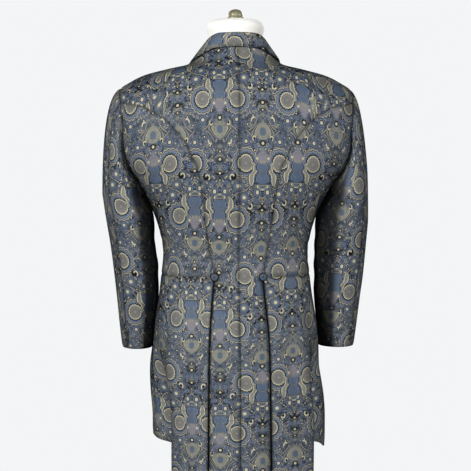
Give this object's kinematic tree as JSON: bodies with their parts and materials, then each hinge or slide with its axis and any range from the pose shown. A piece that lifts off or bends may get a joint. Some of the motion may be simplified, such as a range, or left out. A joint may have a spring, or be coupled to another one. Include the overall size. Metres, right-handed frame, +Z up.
{
  "type": "frock coat on a dress form",
  "caption": "Long cut-away frock coat in paisley brocade with a pleated, vented skirt, standing on a limbless dress form with a round base.",
  "frame": {"origin": "centre of the stand's underside, on the floor", "axes": "+Z up, the front of the coat faces -Y, the wearer's left is +X"},
  "size_m": [0.5435, 0.38, 1.5786],
  "materials": {
    "brocade": "satin jacquard",
    "covered_button": "covered in the coat's cloth",
    "cuff_button": "dark, polished",
    "form_cover": "white jersey",
    "finial": "painted olive grey",
    "pole": "brushed",
    "base": "black enamel"
  },
  "bodies": {
    "root": {"back_left": "brocade", "back_right": "brocade", "side_body_left": "brocade", "side_body_right": "brocade", "front_left": "brocade", "front_right": "brocade", "skirt_left": "brocade", "skirt_right": "brocade", "top_sleeve_left": "brocade", "top_sleeve_right": "brocade", "under_sleeve_left": "brocade", "under_sleeve_right": "brocade", "collar_stand": "brocade", "collar_leaf": "brocade", "lapel_left": "brocade", "lapel_right": "brocade", "hip_button_left": "covered_button", "hip_button_right": "covered_button", "front_button_1": "covered_button", "front_button_2": "covered_button", "front_button_3": "covered_button", "cuff_button_left_1": "cuff_button", "cuff_button_left_2": "cuff_button", "cuff_button_right_1": "cuff_button", "cuff_button_right_2": "cuff_button", "form_torso": "form_cover", "form_finial": "finial", "form_pole": "pole", "form_base": "base"}
  },
  "joints": []
}
